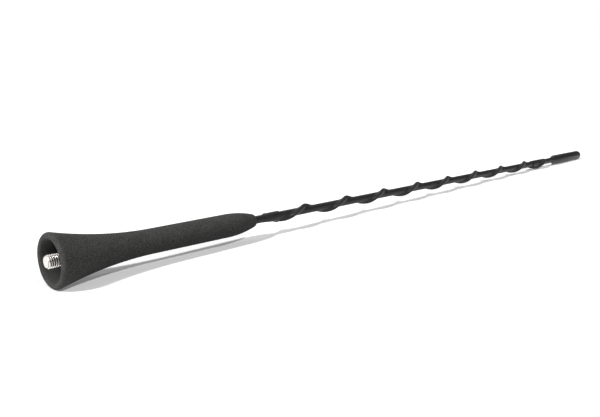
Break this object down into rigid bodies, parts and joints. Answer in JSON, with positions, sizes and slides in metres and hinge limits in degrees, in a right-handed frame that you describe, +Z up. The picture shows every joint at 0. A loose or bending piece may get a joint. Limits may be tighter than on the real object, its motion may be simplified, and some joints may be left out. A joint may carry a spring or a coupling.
{
  "type": "car mast aerial",
  "caption": "Screw-on car roof aerial: flared moulded grip with a threaded stud in its hollow mouth, and a slim whip with a spiral-wound wire under a black sleeve and a round tip cap.",
  "frame": {"origin": "on the mast's axis, in the plane of the mouth's rim, inside the stud", "axes": "+X along the floor to the tip, +Y to the back, +Z up; the mast lies on its rim and tip cap, so its axis dips about one degree below +X"},
  "size_m": [0.4011, 0.0204, 0.0205],
  "materials": {
    "grip_moulding": "matt with a fine moulded grain",
    "nickel_plate": "bright nickel plate",
    "brass_turning": "turned",
    "glass_fibre_rod": "smooth resin",
    "copper_wire": "drawn copper",
    "sleeve": "satin heat-shrunk skin",
    "cap_moulding": "satin moulding"
  },
  "bodies": {
    "root": {"base_grip": "grip_moulding", "threaded_stud": "nickel_plate", "coupling": "brass_turning", "ferrule": "brass_turning", "whip_rod": "glass_fibre_rod", "antenna_wire": "copper_wire", "shrink_sleeve": "sleeve", "lower_collar": "sleeve", "upper_collar": "sleeve", "tip_cap": "cap_moulding"}
  },
  "joints": []
}
